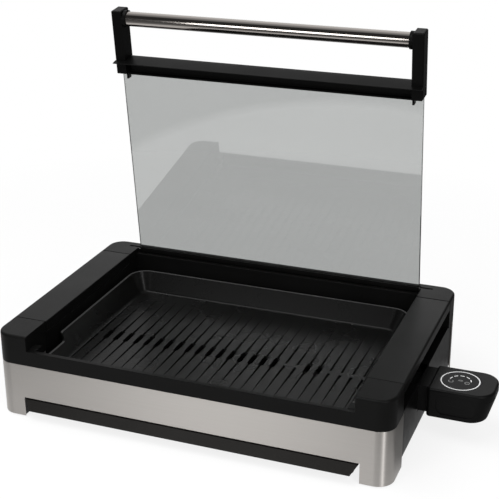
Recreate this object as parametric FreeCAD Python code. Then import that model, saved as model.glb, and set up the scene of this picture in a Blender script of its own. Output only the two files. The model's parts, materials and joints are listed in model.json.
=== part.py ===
import FreeCAD, Part
import math
import os
from FreeCAD import Vector

# Table grill with a glass lid, in millimetres.
# The body is built about its own middle: X to the right, Y to the back, Z up from the table.
# save() then moves every piece so that the origin lies under the middle of the whole outline.

# Body
BODY_WIDTH = 494.0
BODY_DEPTH = 322.0
TOP_HEIGHT = 109.0
STEEL_TOP = 71.0
CORNER_RADIUS = 20.0
SHEET = 1.2
FIT_GAP = 0.2
OVERCUT = 1.0
LEG_GAP = 1.5
LEG_WIDTH = 35.5
NOTCH_HEIGHT = 27.0
FRONT_RETURN = 50.0
REAR_RETURN = 22.0
HEM_WIDTH = 9.0
HEM_INSET = 4.0
SIDE_BOTTOM = 11.0
SIDE_LAP = 8.0
SIDE_FLANGE = 8.0

# Corner blocks, feet and frame screws
BLOCK_INSET = 1.5
BLOCK_DEPTH = 39.0
BLOCK_EDGE = 2.0
FOOT_RADIUS = 11.0
FOOT_HEIGHT = 4.0
FOOT_INSET_X = 18.0
FOOT_INSET_Y = 21.0
FOOT_GAP = 0.1
FOOT_CHAMFER = 1.0
SCREW_RADIUS = 1.9
SCREW_HEAD_RADIUS = 3.6
SCREW_HEAD = 3.0
SCREW_GRIP = 11.0
SCREW_BITE = 14.0
SCREW_GAP = 0.2

# Top frame
BAR_WIDTH = 44.0
BAR_THICKNESS = 14.0
BAR_SEAM = 0.8
TONGUE_LENGTH = 7.0
TONGUE_WIDTH = 14.0
TONGUE_THICKNESS = 6.0
TONGUE_INSET = 7.0
FRONT_CAP = 47.0
REAR_CAP = 43.0
CAP_STEP = 1.0
FRAME_WALL = 3.0
FRAME_EDGE = 3.0
POCKET_EDGE = 3.0
RAIL_HEIGHT = 19.0
RAIL_THICKNESS = 6.0
SKIRT_DROP = 9.0
SKIRT_INSET = 5.0
REAR_RAIL = 25.0
LIP_DROP = 5.5
SLIT_WIDTH = 10.0
SLIT_DEPTH = 8.5
SLIT_END_GAP = 0.8
BOSS_RADIUS = 5.0
LUG_WIDTH = 10.0
LUG_DEPTH = 14.0
LUG_HEIGHT = 11.0
LUG_GAP = 0.3

# Drip tray and its runners
TRAY_TOP_GAP = 2.0
TRAY_DEPTH = 19.0
TRAY_REAR_GAP = 37.0
TRAY_FRONT_GAP = 6.0
TRAY_FLANGE = 9.0
TRAY_SIDE_GAP = 1.5
TRAY_CORNER = 8.0
TRAY_WALL = 1.2
LIP_REACH = 6.5
LIP_FALL = 12.4
LIP_END_TAPER = 8.0
SLIDE_GAP = 0.3
RUNNER_LEDGE = 10.0
RUNNER_RISE = 6.5
RUNNER_FALL = 6.0
RUNNER_END_GAP = 10.0
RUNNER_SCREW_RADIUS = 1.5
RUNNER_SCREW_HEAD = 1.2
RUNNER_SCREW_HEAD_RADIUS = 2.6
RUNNER_SCREW_LENGTH = 9.0
RUNNER_SCREW_RISE = 3.6

# Heat reflector
REFLECTOR_RISE = 6.0
REFLECTOR_SHEET = 1.0
REFLECTOR_SIDE_GAP = 5.0
REFLECTOR_FLANGE_DROP = 12.0
REFLECTOR_FLANGE_INSET = 7.0
REFLECTOR_FLANGE_END = 11.0
REFLECTOR_CORNER = 10.0
DRAIN_MARGIN = 13.0
DRAIN_LIP = 3.0

# Grill plate
PLATE_FOOT = 23.0
PLATE_FOOT_RADIUS = 6.0
PLATE_FOOT_INSET = 31.0
PLATE_FLOOR = 5.0
PLATE_WALL = 3.0
PLATE_DEPTH = 25.0
PLATE_SLOPE = 0.56
PLATE_SIDE_GAP = 5.0
PLATE_REAR_GAP = 10.4
PLATE_FRONT_GAP = 3.6
PLATE_CORNER = 12.0
PLATE_CORNER_SPREAD = 0.4
PLATE_FILLET = 5.0
RIM_STEP = 10.0
RIM_STEP_FROM_FRONT = 74.0
RIM_STEP_RADIUS = 5.0
GROOVE_COUNT = 26
GROOVE_MARGIN = 4.0
GROOVE_TOP = 3.4
GROOVE_BOTTOM = 1.2
GROOVE_DEPTH = 2.8
GROOVE_END_MARGIN = 9.0
GROOVE_RUNOUT = 0.2
SLOT_LENGTH = 25.0
SLOT_WIDTH = 6.6
SLOT_CORNER = 0.6
SLOT_OFFSET = -12.5
SLOT_GROOVES = list(range(1, 18)) + [20, 21]
BUMP_LENGTH = 7.0

# Heating element and its plug
ELEMENT_RADIUS = 4.0
ELEMENT_GAP = 0.1
ELEMENT_BEND = 16.0
ELEMENT_END_INSET = 39.0
ELEMENT_SIDE_INSET = 9.0
CLAMP_LENGTH = 12.0
CLAMP_WIDTH = 18.0
CLAMP_BELOW = 1.5
CLAMP_INSET = 90.5
PLUG_OFFSET = -13.0
PIN_SPACING = 22.0
PIN_RADIUS = 2.0
PIN_LENGTH = 36.0
TERMINAL_STUB = 12.0
GUARD_START = 5.0
GUARD_WIDTH = 48.0
GUARD_ABOVE = 8.6
GUARD_BELOW = 11.9
GUARD_WALL = 1.5
GUARD_END_GAP = 2.6
GUARD_EAR = 7.0
GUARD_EAR_LENGTH = 14.0
GUARD_LIFT_ROOM = 13.0

# Controller
CONTROLLER_GAP = 10.0
CONTROLLER_LENGTH = 76.0
CONTROLLER_WIDTH = 63.0
CONTROLLER_HEIGHT = 37.0
CONTROLLER_DROP = 17.9
CONTROLLER_OVERHANG = 8.0
CONTROLLER_BAND = 10.0
CONTROLLER_NOSE_RADIUS = 22.0
CONTROLLER_BACK_RADIUS = 4.0
HOLLOW_BACK_RADIUS = 1.6
CONTROLLER_EDGE = 3.0
CONTROLLER_WALL = 3.0
CONTROLLER_SPLIT = 19.0
GRIP_RECESS = 1.2
GRIP_LENGTH = 46.0
GRIP_HEIGHT = 25.0
GRIP_RADIUS = 9.0
NECK_WIDTH = 50.0
NECK_TOP_GAP = 1.0
NECK_FOOT = 3.0
NECK_INSET = 3.0
NECK_GAP = 2.0
CONNECTOR_GAP = 1.0
CONNECTOR_START = 14.0
CONNECTOR_TAIL = 8.0
SOCKET_WALL = 0.9
SOCKET_GAP = 0.1
PROBE_RADIUS = 3.0
PROBE_DROP = 6.0
PROBE_REACH = 115.0
PROBE_GAP = 0.3
TOUCH_RADIUS = 25.0
TOUCH_THICKNESS = 1.0
TOUCH_FROM_NECK = 32.6
RING_RADIUS = 23.1
RING_WIDTH = 1.3
RING_THICKNESS = 0.4
BOARD_THICKNESS = 1.6
BOARD_LENGTH = 34.0
BOARD_WIDTH = 34.0
BOARD_STANDOFF = 5.0
STANDOFF_RADIUS = 2.2
STANDOFF_INSET = 4.0
GLAND_RADIUS = 6.0
GLAND_BORE = 3.75
GLAND_LENGTH = 10.0
GLAND_FLANGE = 2.0
GLAND_FLANGE_WIDTH = 1.0
GLAND_HEIGHT = 11.0
GLAND_FROM_END = 36.0
CASE_SCREW_RADIUS = 1.3
CASE_SCREW_HEAD_RADIUS = 2.4
CASE_SCREW_HEAD = 1.6
CASE_SCREW_LENGTH = 15.0
CASE_POST_RADIUS = 3.5
CASE_POST_INSET = 7.0

# Lid, about its hinge line
LID_LEAN = 6.5
AXIS_DROP = 2.8
AXIS_INSET = 14.0
GLASS_THICKNESS = 4.0
GLASS_SIDE_GAP = 3.0
GLASS_START = 2.4
GLASS_CHAMFER = 0.6
GLASS_GAP = 0.1
HINGE_RAIL_HALF = 3.2
HINGE_RAIL_BELOW = 3.0
HINGE_RAIL_ABOVE = 4.2
HINGE_RAIL_ROUND = 1.5
HINGE_PIN_RADIUS = 1.75
HINGE_PIN_LENGTH = 30.5
HINGE_PIN_OUT = 16.5
HINGE_RUN_GAP = 0.07
PRESS_GAP = 0.02
STRIP_GAP = 3.0
STRIP_HEIGHT = 21.5
STRIP_WALL = 1.5
GLASS_BITE = 18.0
RIB_REACH = 10.0
RIB_THICKNESS = 2.2
BLADE_REACH = 24.0
BLADE_ROOT = 9.5
BLADE_TIP = 1.0
BLADE_DROP = 2.5
POST_SIDE_GAP = 2.0
POST_WIDTH = 14.0
POST_FRONT = 15.2
POST_BACK = 6.3
POST_START = 2.0
POST_EDGE = 2.0
POST_CROWN = 12.2
FIN_WIDTH = 2.5
FIN_LENGTH = 8.0
TUBE_RADIUS = 9.3
TUBE_WALL = 1.2
TUBE_RISE = 72.8
TUBE_FORWARD = 4.5
TUBE_BITE = 10.5
COLLAR_LENGTH = 4.5
COLLAR_WALL = 1.6
POST_SCREW_RADIUS = 1.5
POST_SCREW_HEAD_RADIUS = 3.0
POST_SCREW_HEAD = 1.6
POST_SCREW_LENGTH = 14.0
POST_SCREW_RISES = (5.5, 12.5)
GLASS_HOLE_RADIUS = 3.0

# Places that follow from the sizes above
HALF = BODY_WIDTH / 2
FRONT = -BODY_DEPTH / 2
REAR = BODY_DEPTH / 2
BAR_INNER = HALF - BAR_WIDTH
CAP_INNER = BAR_INNER + CAP_STEP
BAR_FRONT = FRONT + FRONT_CAP
BAR_REAR = REAR - REAR_CAP
BAR_BOTTOM = TOP_HEIGHT - BAR_THICKNESS
RAIL_TOP = STEEL_TOP + RAIL_HEIGHT
RAIL_BACK = FRONT + RAIL_THICKNESS
SKIRT_BOTTOM = STEEL_TOP - SKIRT_DROP
REAR_INNER = REAR - REAR_RAIL
LIP_TOP = TOP_HEIGHT - LIP_DROP
FLANGE_TOP = STEEL_TOP - REFLECTOR_FLANGE_DROP
FLANGE_BOTTOM = FLANGE_TOP - REFLECTOR_SHEET
SIDE_OUTER = HALF - SHEET
SIDE_INNER = SIDE_OUTER - SHEET
NOTCH_HALF = HALF - LEG_WIDTH
BLOCK_INNER = NOTCH_HALF + BLOCK_INSET
BLOCK_OUTER = SIDE_INNER - FIT_GAP
FOOT_X = HALF - FOOT_INSET_X
FOOT_Y = REAR - FOOT_INSET_Y
AXIS_Y = REAR - AXIS_INSET
AXIS_Z = TOP_HEIGHT - AXIS_DROP
SLIT_FRONT = AXIS_Y - SLIT_WIDTH / 2
SLIT_BOTTOM = TOP_HEIGHT - SLIT_DEPTH
TRAY_TOP = NOTCH_HEIGHT - TRAY_TOP_GAP
TRAY_HALF = NOTCH_HALF - TRAY_SIDE_GAP
TRAY_BODY = TRAY_HALF - TRAY_FLANGE
TRAY_FRONT = FRONT + TRAY_FRONT_GAP
TRAY_REAR = REAR - TRAY_REAR_GAP
LEDGE_TOP = TRAY_TOP - TRAY_WALL - SLIDE_GAP
REFLECTOR_BOTTOM = TRAY_TOP + REFLECTOR_RISE
REFLECTOR_TOP = REFLECTOR_BOTTOM + REFLECTOR_SHEET
PLATE_BOTTOM = REFLECTOR_TOP + PLATE_FOOT
FLOOR_TOP = PLATE_BOTTOM + PLATE_FLOOR
RIM_TOP = FLOOR_TOP + PLATE_DEPTH
RIM_SPREAD = PLATE_DEPTH * PLATE_SLOPE
FLOOR_HALF = BAR_INNER - PLATE_SIDE_GAP - PLATE_WALL - RIM_SPREAD
FLOOR_REAR = REAR_INNER - PLATE_REAR_GAP - PLATE_WALL - RIM_SPREAD
FRONT_SPREAD = (PLATE_DEPTH - RIM_STEP) * PLATE_SLOPE
FLOOR_FRONT = RAIL_BACK + PLATE_FRONT_GAP + PLATE_WALL + FRONT_SPREAD
FLOOR_MIDDLE = (FLOOR_FRONT + FLOOR_REAR) / 2
GROOVE_SPAN = 2 * (FLOOR_HALF - GROOVE_MARGIN)
GROOVE_PITCH = GROOVE_SPAN / (GROOVE_COUNT - 1)
SLOT_MIDDLE = FLOOR_MIDDLE + SLOT_OFFSET
PLUG_Y = PLUG_OFFSET
PIN_Z = PLATE_BOTTOM - ELEMENT_GAP - ELEMENT_RADIUS
PIN_YS = (PLUG_Y - PIN_SPACING / 2, PLUG_Y + PIN_SPACING / 2)
PLATE_EDGE = FLOOR_HALF + PLATE_WALL
GUARD_X = PLATE_EDGE + GUARD_START
GUARD_END = SIDE_INNER - GUARD_END_GAP
GUARD_TOP = PIN_Z + GUARD_ABOVE
GUARD_BOTTOM = PIN_Z - GUARD_BELOW
GUARD_INSIDE = GUARD_X + GUARD_WALL
ELEMENT_END = GUARD_X + TERMINAL_STUB
PROBE_Z = PIN_Z - PROBE_DROP
CONTROLLER_START = HALF + CONTROLLER_GAP
CONTROLLER_END = CONTROLLER_START + CONTROLLER_LENGTH
CONTROLLER_BOTTOM = PIN_Z - CONTROLLER_DROP
CONTROLLER_TOP = CONTROLLER_BOTTOM + CONTROLLER_HEIGHT
SPLIT_Z = CONTROLLER_BOTTOM + CONTROLLER_SPLIT
NECK_START = HALF - NECK_INSET
NECK_BOTTOM = CONTROLLER_BOTTOM + NECK_FOOT
NECK_TOP = CONTROLLER_TOP - NECK_TOP_GAP
CONNECTOR_X = GUARD_INSIDE + CONNECTOR_START
CONNECTOR_HALF = GUARD_WIDTH / 2 - GUARD_WALL - CONNECTOR_GAP
CONNECTOR_TOP = GUARD_TOP - GUARD_WALL - CONNECTOR_GAP
CONNECTOR_BOTTOM = GUARD_BOTTOM + GUARD_WALL + CONNECTOR_GAP
CONNECTOR_END = CONTROLLER_START + CONNECTOR_TAIL
SOCKET_BORE = PIN_RADIUS + SOCKET_GAP
SOCKET_OUTER = SOCKET_BORE + SOCKET_WALL
SOCKET_END = ELEMENT_END + PIN_LENGTH + SOCKET_WALL
TOUCH_X = CONTROLLER_START + TOUCH_FROM_NECK
BOARD_TOP = CONTROLLER_TOP - CONTROLLER_WALL - BOARD_STANDOFF
BOARD_BOTTOM = BOARD_TOP - BOARD_THICKNESS
GLASS_HALF = BAR_INNER - GLASS_SIDE_GAP
SLIT_HALF = GLASS_HALF + SLIT_END_GAP
PIN_END = GLASS_HALF + HINGE_PIN_OUT
GLASS_SLOT = GLASS_THICKNESS / 2 + GLASS_GAP
STRIP_START = AXIS_Y - BAR_FRONT + STRIP_GAP
STRIP_END = STRIP_START + STRIP_HEIGHT
STRIP_HALF_DEPTH = GLASS_SLOT + STRIP_WALL
GLASS_END = STRIP_START + GLASS_BITE
POST_OUTER = CAP_INNER - POST_SIDE_GAP
POST_INNER = POST_OUTER - POST_WIDTH
POST_BOTTOM = STRIP_START + POST_START
TUBE_Z = STRIP_START + TUBE_RISE
POST_TOP = TUBE_Z + POST_CROWN
TUBE_HALF = POST_INNER + TUBE_BITE
POST_SCREW_X = POST_OUTER - POST_WIDTH / 2
SHIFT = Vector(-(CONTROLLER_END - HALF) / 2, -(FRONT - LIP_REACH + REAR) / 2, 0)


# Shape helpers
def box(x0, x1, y0, y1, z0, z1):
    return Part.makeBox(x1 - x0, y1 - y0, z1 - z0, Vector(x0, y0, z0))


def rod(start, direction, radius, length):
    return Part.makeCylinder(radius, length, Vector(*start), Vector(*direction))


def rounded_wire(x0, x1, y0, y1, z, radii):
    """Rectangle with its own radius at the front left, front right, rear right and rear left corner."""
    corners = [(x0, y0, 1, 1), (x1, y0, -1, 1), (x1, y1, -1, -1), (x0, y1, 1, -1)]
    ends = []
    for (x, y, sx, sy), r in zip(corners, radii):
        side = Vector(x, y + sy * r, z)
        along = Vector(x + sx * r, y, z)
        middle = Vector(x + sx * r * (1 - math.sqrt(0.5)), y + sy * r * (1 - math.sqrt(0.5)), z)
        first, last = (side, along) if sx == sy else (along, side)
        ends.append((first, middle, last))
    edges = []
    for i, (first, middle, last) in enumerate(ends):
        edges.append(Part.Arc(first, middle, last).toShape())
        edges.append(Part.LineSegment(last, ends[(i + 1) % 4][0]).toShape())
    return Part.Wire(edges)


def rounded_block(x0, x1, y0, y1, z0, z1, radii):
    face = Part.Face(rounded_wire(x0, x1, y0, y1, z0, radii))
    return face.extrude(Vector(0, 0, z1 - z0))


def prism_x(points, x0, x1):
    """Outline of (y, z) points drawn along X."""
    wire = Part.makePolygon([Vector(x0, y, z) for y, z in points + points[:1]])
    return Part.Face(wire).extrude(Vector(x1 - x0, 0, 0))


def prism_y(points, y0, y1):
    """Outline of (x, z) points drawn along Y."""
    wire = Part.makePolygon([Vector(x, y0, z) for x, z in points + points[:1]])
    return Part.Face(wire).extrude(Vector(0, y1 - y0, 0))


def loft(low, high):
    return Part.makeLoft([low, high], True, True)


def mirrored(shape):
    return shape.mirror(Vector(0, 0, 0), Vector(1, 0, 0))


def both(shape):
    return [shape, mirrored(shape)]


def joined(*shapes):
    return shapes[0].fuse(list(shapes[1:])).removeSplitter()


def cut(shape, *tools):
    return shape.cut(list(tools))


def edges_near(shape, test):
    return [edge for edge in shape.Edges if test(edge)]


def along_y_at(x, z):
    """Picks straight edges that run along Y at a given x and z."""
    def test(edge):
        box_of = edge.BoundBox
        close = abs(box_of.Center.x - x) < 0.01 and abs(box_of.Center.z - z) < 0.01
        return close and box_of.YLength > 1 and box_of.XLength < 0.01 and box_of.ZLength < 0.01
    return test


def level_at(z):
    """Picks edges that lie flat at a given height."""
    def test(edge):
        return abs(edge.BoundBox.ZMin - z) < 0.01 and abs(edge.BoundBox.ZMax - z) < 0.01
    return test


def save(name, *shapes):
    solids = [solid for shape in shapes for solid in shape.Solids]
    piece = solids[0] if len(solids) == 1 else Part.makeCompound(solids)
    piece = piece.copy()
    piece.translate(SHIFT)
    piece.exportStep("parts/" + name + ".step")


def corner_radii(front, right, outer, other):
    """Radii for a block in one corner of the body, with the body's own corner rounded more."""
    outer_index = (1 if right else 0) if front else (2 if right else 3)
    return [outer if i == outer_index else other for i in range(4)]


# Steel skins
def skin(y0, y1):
    radii = [CORNER_RADIUS] * 4
    inner_radii = [CORNER_RADIUS - SHEET] * 4
    outer = rounded_block(-HALF, HALF, FRONT, REAR, LEG_GAP, STEEL_TOP, radii)
    inside = rounded_block(-SIDE_OUTER, SIDE_OUTER, FRONT + SHEET, REAR - SHEET, 0, TOP_HEIGHT, inner_radii)
    return cut(outer, inside).common(box(-HALF, HALF, y0, y1, 0, TOP_HEIGHT))


def notch(y0, y1):
    return box(-NOTCH_HALF, NOTCH_HALF, y0, y1, 0, NOTCH_HEIGHT)


def hem(y0, y1):
    half = NOTCH_HALF - HEM_INSET
    return box(-half, half, y0, y1, NOTCH_HEIGHT, NOTCH_HEIGHT + SHEET)


def front_panel():
    panel = cut(skin(FRONT, FRONT + FRONT_RETURN), notch(FRONT - OVERCUT, FRONT + SHEET + OVERCUT))
    return joined(panel, hem(FRONT + SHEET, FRONT + SHEET + HEM_WIDTH))


def rear_panel():
    panel = cut(skin(REAR - REAR_RETURN, REAR), notch(REAR - SHEET - OVERCUT, REAR + OVERCUT))
    return joined(panel, hem(REAR - SHEET - HEM_WIDTH, REAR - SHEET))


def side_panel():
    y0 = FRONT + FRONT_RETURN - SIDE_LAP
    y1 = REAR - CORNER_RADIUS - FIT_GAP
    wall = box(SIDE_INNER, SIDE_OUTER, y0, y1, SIDE_BOTTOM, STEEL_TOP)
    flange = box(SIDE_INNER - SIDE_FLANGE, SIDE_INNER, y0, y1, STEEL_TOP - SHEET, STEEL_TOP)
    return joined(wall, flange)


def plug_window(x0, x1, half, z0, z1):
    return box(x0, x1, PLUG_Y - half, PLUG_Y + half, z0, z1)


def right_side_panel():
    half = NECK_WIDTH / 2 + NECK_GAP
    return cut(side_panel(), plug_window(BAR_INNER, HALF, half, NECK_BOTTOM - NECK_GAP, TOP_HEIGHT))


# Corner blocks, feet and the screws that hold the frame down
def corner_block(front, right):
    y0 = FRONT + SHEET + FIT_GAP if front else REAR - BLOCK_DEPTH
    y1 = FRONT + BLOCK_DEPTH if front else REAR - SHEET - FIT_GAP
    radii = corner_radii(front, True, CORNER_RADIUS - SHEET, BLOCK_EDGE)
    block = rounded_block(BLOCK_INNER, BLOCK_OUTER, y0, y1, LEG_GAP, FLANGE_BOTTOM, radii)
    y = -FOOT_Y if front else FOOT_Y
    seat = rod((FOOT_X, y, 0), (0, 0, 1), FOOT_RADIUS + FOOT_GAP, FOOT_HEIGHT)
    head_room = rod((FOOT_X, y, 0), (0, 0, 1), SCREW_HEAD_RADIUS + SCREW_GAP, FLANGE_BOTTOM - SCREW_GRIP)
    shank_hole = rod((FOOT_X, y, 0), (0, 0, 1), SCREW_RADIUS + SCREW_GAP, FLANGE_TOP)
    block = cut(block, seat, head_room, shank_hole)
    for hole_y, z in runner_screw_places():
        if (hole_y < 0) == front:
            radius = RUNNER_SCREW_RADIUS + PRESS_GAP
            block = cut(block, rod((BLOCK_INNER, hole_y, z), (1, 0, 0), radius, RUNNER_SCREW_LENGTH))
    return block if right else mirrored(block)


def foot_places():
    return [(sx * FOOT_X, sy * FOOT_Y) for sy in (-1, 1) for sx in (-1, 1)]


def rubber_feet():
    feet = []
    for x, y in foot_places():
        foot = rod((x, y, 0), (0, 0, 1), FOOT_RADIUS, FOOT_HEIGHT)
        feet.append(foot.makeChamfer(FOOT_CHAMFER, edges_near(foot, level_at(0))))
    return feet


def frame_screws():
    screws = []
    head_top = FLANGE_BOTTOM - SCREW_GRIP
    for x, y in foot_places():
        head = rod((x, y, head_top - SCREW_HEAD), (0, 0, 1), SCREW_HEAD_RADIUS, SCREW_HEAD)
        shank = rod((x, y, head_top), (0, 0, 1), SCREW_RADIUS, SCREW_GRIP + REFLECTOR_SHEET + SCREW_BITE)
        screws.append(joined(head, shank))
    return screws


# Top frame
def frame_blank():
    blank = rounded_block(-HALF, HALF, FRONT, REAR, STEEL_TOP, TOP_HEIGHT, [CORNER_RADIUS] * 4)
    return blank.makeFillet(FRAME_EDGE, edges_near(blank, level_at(TOP_HEIGHT)))


def frame_openings():
    above = TOP_HEIGHT + OVERCUT
    below = SKIRT_BOTTOM - OVERCUT
    outside = HALF + OVERCUT
    tools = [
        box(-BAR_INNER, BAR_INNER, RAIL_BACK, REAR_INNER, below, above),
        box(-CAP_INNER, CAP_INNER, RAIL_BACK, BAR_FRONT, below, above),
        box(-CAP_INNER, CAP_INNER, FRONT - OVERCUT, RAIL_BACK, RAIL_TOP, above),
        box(-BAR_INNER, BAR_INNER, REAR_INNER, SLIT_FRONT, LIP_TOP, above),
        box(-SLIT_HALF, SLIT_HALF, SLIT_FRONT, SLIT_FRONT + SLIT_WIDTH, SLIT_BOTTOM, above),
        box(-BAR_INNER, BAR_INNER, REAR_INNER + FRAME_WALL, REAR - FRAME_WALL, below,
            SLIT_BOTTOM - FRAME_WALL),
    ]
    tools += both(box(BAR_INNER + FRAME_WALL, outside, BAR_FRONT, BAR_REAR, below, above))
    tools += both(box(BAR_INNER - OVERCUT, outside, BAR_FRONT, BAR_REAR, BAR_BOTTOM, above))
    return tools


def cap_pockets():
    below = SKIRT_BOTTOM - OVERCUT
    top = TOP_HEIGHT - FRAME_WALL
    round_outer = CORNER_RADIUS - FRAME_WALL
    x1 = HALF - FRAME_WALL
    front = rounded_block(CAP_INNER + FRAME_WALL, x1, FRONT + FRAME_WALL, BAR_FRONT - FRAME_WALL, below, top,
                          corner_radii(True, True, round_outer, POCKET_EDGE))
    rear = rounded_block(PIN_END + FRAME_WALL, x1, BAR_REAR + FRAME_WALL, REAR - FRAME_WALL, below, top,
                         corner_radii(False, True, round_outer, POCKET_EDGE))
    return both(front) + both(rear)


def tongue(front, gap):
    """Tongue of the right bar, or with a gap the slot that takes it."""
    x1 = HALF - TONGUE_INSET + gap
    z0 = BAR_BOTTOM + (BAR_THICKNESS - TONGUE_THICKNESS) / 2 - gap
    z1 = z0 + TONGUE_THICKNESS + 2 * gap
    y0 = BAR_FRONT - TONGUE_LENGTH if front else BAR_REAR - BAR_SEAM
    y1 = BAR_FRONT + BAR_SEAM if front else BAR_REAR + TONGUE_LENGTH
    return box(x1 - TONGUE_WIDTH - 2 * gap, x1, y0 - gap, y1 + gap, z0, z1)


def saddle():
    """Open-topped seat of the right hinge pin."""
    radius = HINGE_PIN_RADIUS + HINGE_RUN_GAP
    length = PIN_END + SLIT_END_GAP - SLIT_HALF
    seat = rod((SLIT_HALF, AXIS_Y, AXIS_Z), (1, 0, 0), radius, length)
    mouth = box(SLIT_HALF, SLIT_HALF + length, AXIS_Y - radius, AXIS_Y + radius, AXIS_Z,
                TOP_HEIGHT + OVERCUT)
    return joined(seat, mouth)


def frame_skirts():
    half = BAR_INNER - SKIRT_INSET
    wall_end = BAR_INNER + FRAME_WALL
    side = box(BAR_INNER, wall_end, BAR_FRONT, REAR_INNER + FRAME_WALL, SKIRT_BOTTOM, STEEL_TOP)
    return both(side) + [
        box(-half, half, FRONT + SHEET + FIT_GAP, RAIL_BACK, SKIRT_BOTTOM, STEEL_TOP),
        box(-half, half, REAR - RAIL_THICKNESS, REAR - SHEET - FIT_GAP, SKIRT_BOTTOM, STEEL_TOP),
        box(-BAR_INNER, BAR_INNER, REAR_INNER, REAR_INNER + FRAME_WALL, SKIRT_BOTTOM, STEEL_TOP),
    ]


def lid_rest_lug():
    """Pad in the front right corner that the closed lid's post comes down on."""
    top = AXIS_Z - POST_FRONT - LUG_GAP
    return box(CAP_INNER - LUG_WIDTH, CAP_INNER, RAIL_BACK, RAIL_BACK + LUG_DEPTH, top - LUG_HEIGHT, top)


def frame_bosses():
    bosses = []
    for x, y in foot_places():
        bosses.append(rod((x, y, FLANGE_TOP), (0, 0, 1), BOSS_RADIUS, TOP_HEIGHT - FRAME_WALL - FLANGE_TOP))
    return bosses


def top_frame():
    frame = cut(frame_blank(), *frame_openings(), *cap_pockets())
    frame = joined(frame, *frame_skirts(), *both(lid_rest_lug()), *frame_bosses())
    radius = SCREW_RADIUS + PRESS_GAP
    holes = [rod((x, y, FLANGE_TOP), (0, 0, 1), radius, SCREW_BITE) for x, y in foot_places()]
    slots = both(tongue(True, FIT_GAP)) + both(tongue(False, FIT_GAP))
    window = plug_window(BAR_INNER - OVERCUT, BAR_INNER + FRAME_WALL + OVERCUT, GUARD_WIDTH / 2 + NECK_GAP,
                         SKIRT_BOTTOM - OVERCUT, GUARD_TOP + GUARD_LIFT_ROOM)
    return cut(frame, *holes, *slots, *both(saddle()), window)


def handle_bar():
    bar = box(BAR_INNER, HALF, BAR_FRONT + BAR_SEAM, BAR_REAR - BAR_SEAM, BAR_BOTTOM, TOP_HEIGHT)
    outer = edges_near(bar, along_y_at(HALF, TOP_HEIGHT)) + edges_near(bar, along_y_at(HALF, BAR_BOTTOM))
    bar = bar.makeFillet(FRAME_EDGE, outer)
    return joined(bar, tongue(True, 0), tongue(False, 0))


# Drip tray and runners
def drip_tray():
    y1 = TRAY_REAR - TRAY_FLANGE
    bottom = TRAY_TOP - TRAY_DEPTH
    radii = [TRAY_CORNER] * 4
    inner_radii = [TRAY_CORNER - TRAY_WALL] * 4
    body = rounded_block(-TRAY_BODY, TRAY_BODY, TRAY_FRONT, y1, bottom, TRAY_TOP, radii)
    flange = box(-TRAY_HALF, TRAY_HALF, TRAY_FRONT, TRAY_REAR, TRAY_TOP - TRAY_WALL, TRAY_TOP)
    inner_half = TRAY_BODY - TRAY_WALL
    inside = rounded_block(-inner_half, inner_half, TRAY_FRONT + TRAY_WALL, y1 - TRAY_WALL,
                           bottom + TRAY_WALL, TRAY_TOP + OVERCUT, inner_radii)
    return cut(joined(body, flange, pull_lip()), inside)


def pull_lip():
    """Sloping lip along the tray's front edge, shorter at its foot than at its top."""
    foot_y = FRONT - LIP_REACH
    foot_z = TRAY_TOP - LIP_FALL
    outline = [(TRAY_FRONT, TRAY_TOP), (FRONT, TRAY_TOP), (foot_y, foot_z), (foot_y + TRAY_WALL, foot_z),
               (FRONT + TRAY_WALL / 2, TRAY_TOP - TRAY_WALL), (TRAY_FRONT, TRAY_TOP - TRAY_WALL)]
    lip = prism_x(outline, -TRAY_HALF, TRAY_HALF)
    foot_half = TRAY_HALF - LIP_END_TAPER
    ends = [(-TRAY_HALF, TRAY_TOP), (TRAY_HALF, TRAY_TOP), (foot_half, foot_z), (-foot_half, foot_z)]
    return lip.common(prism_y(ends, foot_y, TRAY_FRONT))


def runner_screw_places():
    z = LEDGE_TOP + RUNNER_SCREW_RISE
    return [(-FOOT_Y, z), (FOOT_Y, z)]


def tray_runner():
    y0 = FRONT + SHEET + RUNNER_END_GAP
    y1 = REAR - SHEET - RUNNER_END_GAP
    stop_y = TRAY_REAR + SLIDE_GAP
    web = box(BLOCK_INNER - SHEET, BLOCK_INNER, y0, y1, LEDGE_TOP - RUNNER_FALL, LEDGE_TOP + RUNNER_RISE)
    ledge = box(BLOCK_INNER - RUNNER_LEDGE, BLOCK_INNER, y0, y1, LEDGE_TOP - SHEET, LEDGE_TOP)
    stop = box(BLOCK_INNER - RUNNER_LEDGE, BLOCK_INNER, stop_y, stop_y + SHEET, LEDGE_TOP - SHEET,
               LEDGE_TOP + RUNNER_RISE)
    holes = []
    for y, z in runner_screw_places():
        holes.append(rod((BLOCK_INNER - SHEET, y, z), (1, 0, 0), RUNNER_SCREW_RADIUS + PRESS_GAP, SHEET))
    return cut(joined(web, ledge, stop), *holes)


def runner_screws():
    screws = []
    for y, z in runner_screw_places():
        x = BLOCK_INNER - SHEET
        head = rod((x - RUNNER_SCREW_HEAD, y, z), (1, 0, 0), RUNNER_SCREW_HEAD_RADIUS, RUNNER_SCREW_HEAD)
        shank = rod((x, y, z), (1, 0, 0), RUNNER_SCREW_RADIUS, SHEET + RUNNER_SCREW_LENGTH)
        screws += both(joined(head, shank))
    return screws


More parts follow.
